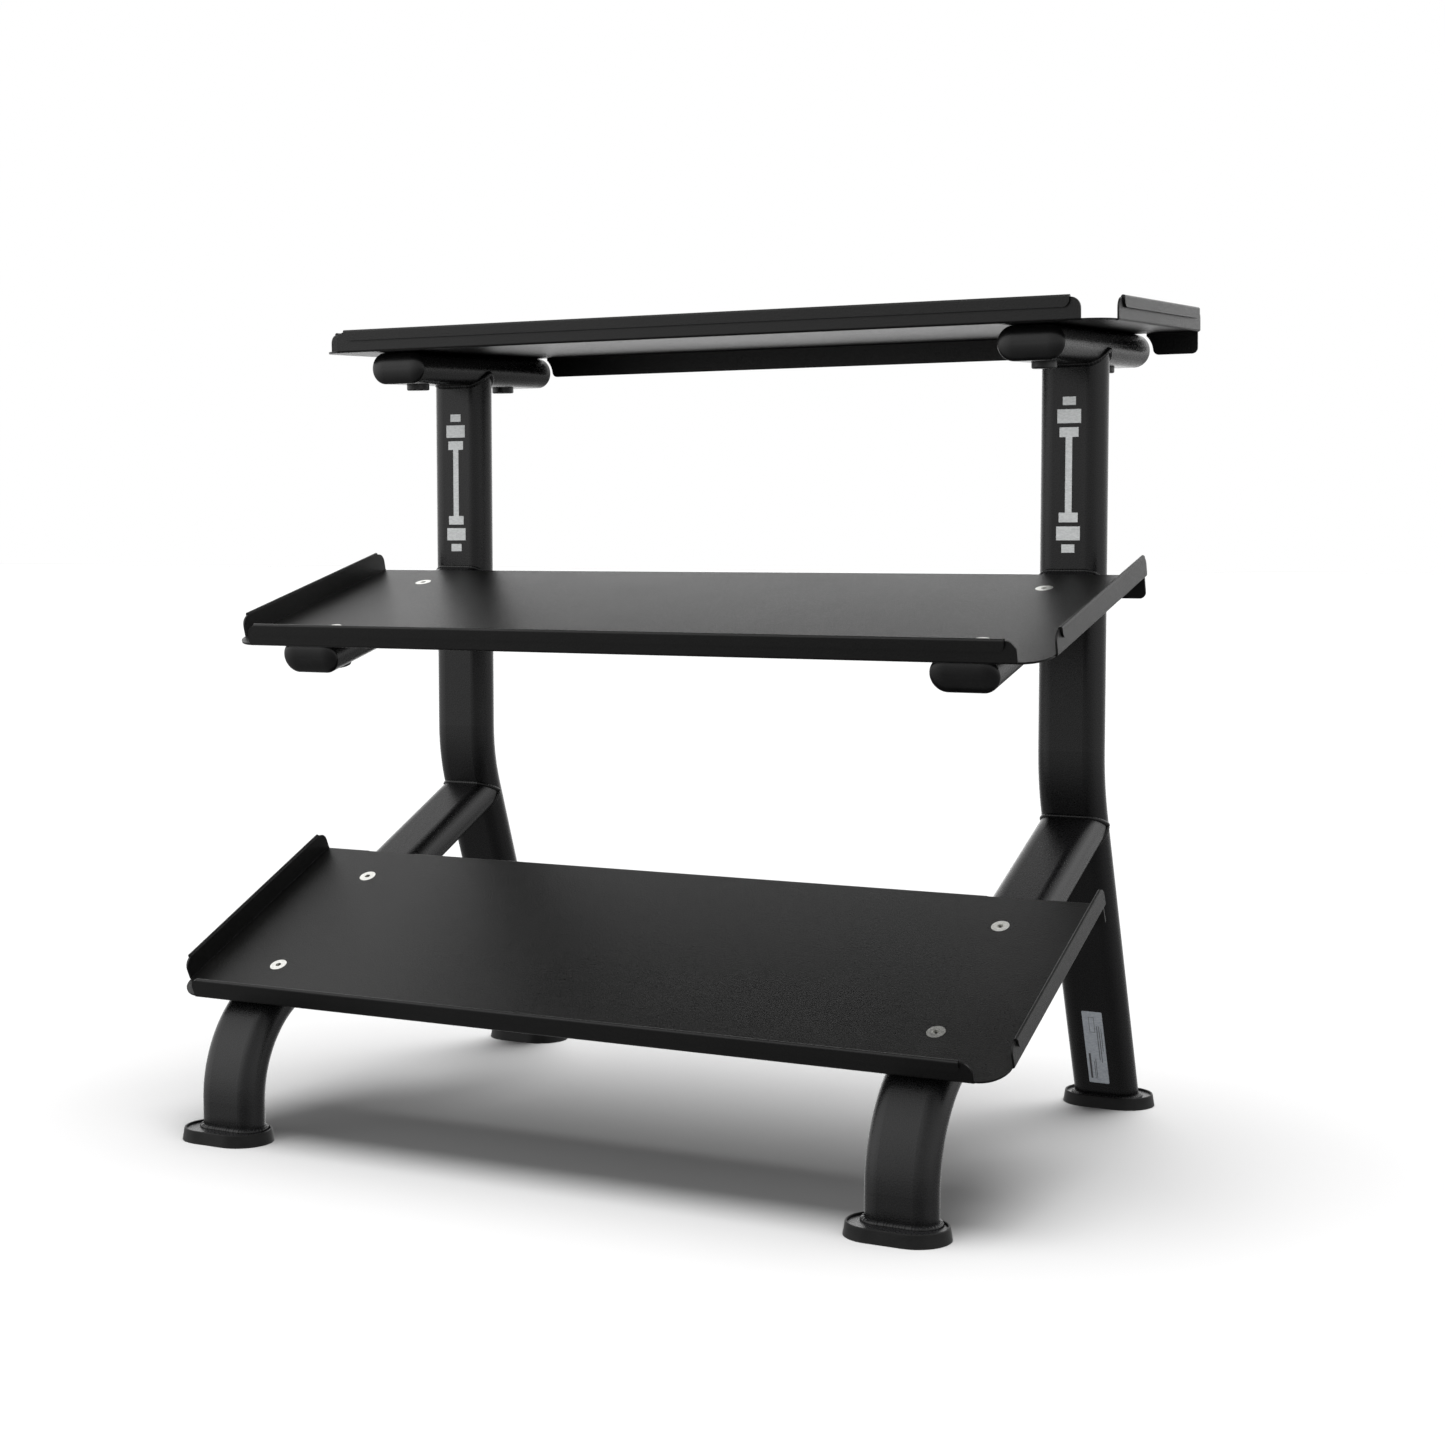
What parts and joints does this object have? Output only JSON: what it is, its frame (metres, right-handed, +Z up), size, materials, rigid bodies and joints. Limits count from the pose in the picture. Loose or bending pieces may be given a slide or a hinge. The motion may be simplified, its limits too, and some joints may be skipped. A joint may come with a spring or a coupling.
{
  "type": "dumbbell rack",
  "caption": "Free-standing dumbbell rack: hemmed sheet-metal trays, tilted more towards the floor, bolted to two welded side frames of flat-oval tube on rubber feet.",
  "frame": {"origin": "on the floor, in the middle of the footprint of the rack", "axes": "+X along the trays to the right of a person facing the rack, +Y to its back, +Z up"},
  "size_m": [1.327, 0.913, 1.2186],
  "materials": {
    "frame_paint": "satin black powder coat with a fine texture",
    "tray_paint": "satin black powder coat with a fine texture",
    "cap_plastic": "moulded black, slightly glossier than the paint",
    "foot_rubber": "matt black rubber",
    "screw_zinc": "bright zinc plate",
    "nut_zinc": "zinc plate",
    "nut_cover_plastic": "moulded black",
    "mark_film": "light grey printed film",
    "label_film": "silver grey label film"
  },
  "bodies": {
    "root": {"bottom_tray": "tray_paint", "bottom_tray_lips": "tray_paint", "bottom_tray_nut_covers": "nut_cover_plastic", "bottom_tray_nuts": "nut_zinc", "bottom_tray_rear_flange": "tray_paint", "bottom_tray_screws": "screw_zinc", "bottom_tray_washers": "nut_zinc", "left_base_leg": "frame_paint", "left_front_foot_pad": "foot_rubber", "left_front_foot_plate": "frame_paint", "left_middle_arm": "frame_paint", "left_middle_arm_front_cap": "cap_plastic", "left_rear_foot_pad": "foot_rubber", "left_rear_foot_plate": "frame_paint", "left_top_arm": "frame_paint", "left_top_arm_front_cap": "cap_plastic", "left_top_arm_rear_cap": "cap_plastic", "left_upright": "frame_paint", "left_upright_mark": "mark_film", "middle_tray": "tray_paint", "middle_tray_lips": "tray_paint", "middle_tray_nut_covers": "nut_cover_plastic", "middle_tray_nuts": "nut_zinc", "middle_tray_rear_flange": "tray_paint", "middle_tray_screws": "screw_zinc", "middle_tray_washers": "nut_zinc", "right_base_leg": "frame_paint", "right_front_foot_pad": "foot_rubber", "right_front_foot_plate": "frame_paint", "right_leg_label": "label_film", "right_middle_arm": "frame_paint", "right_middle_arm_front_cap": "cap_plastic", "right_rear_foot_pad": "foot_rubber", "right_rear_foot_plate": "frame_paint", "right_top_arm": "frame_paint", "right_top_arm_front_cap": "cap_plastic", "right_top_arm_rear_cap": "cap_plastic", "right_upright": "frame_paint", "right_upright_mark": "mark_film", "top_tray": "tray_paint", "top_tray_lips": "tray_paint", "top_tray_nut_covers": "nut_cover_plastic", "top_tray_nuts": "nut_zinc", "top_tray_rear_flange": "tray_paint", "top_tray_screws": "screw_zinc", "top_tray_washers": "nut_zinc"}
  },
  "joints": []
}
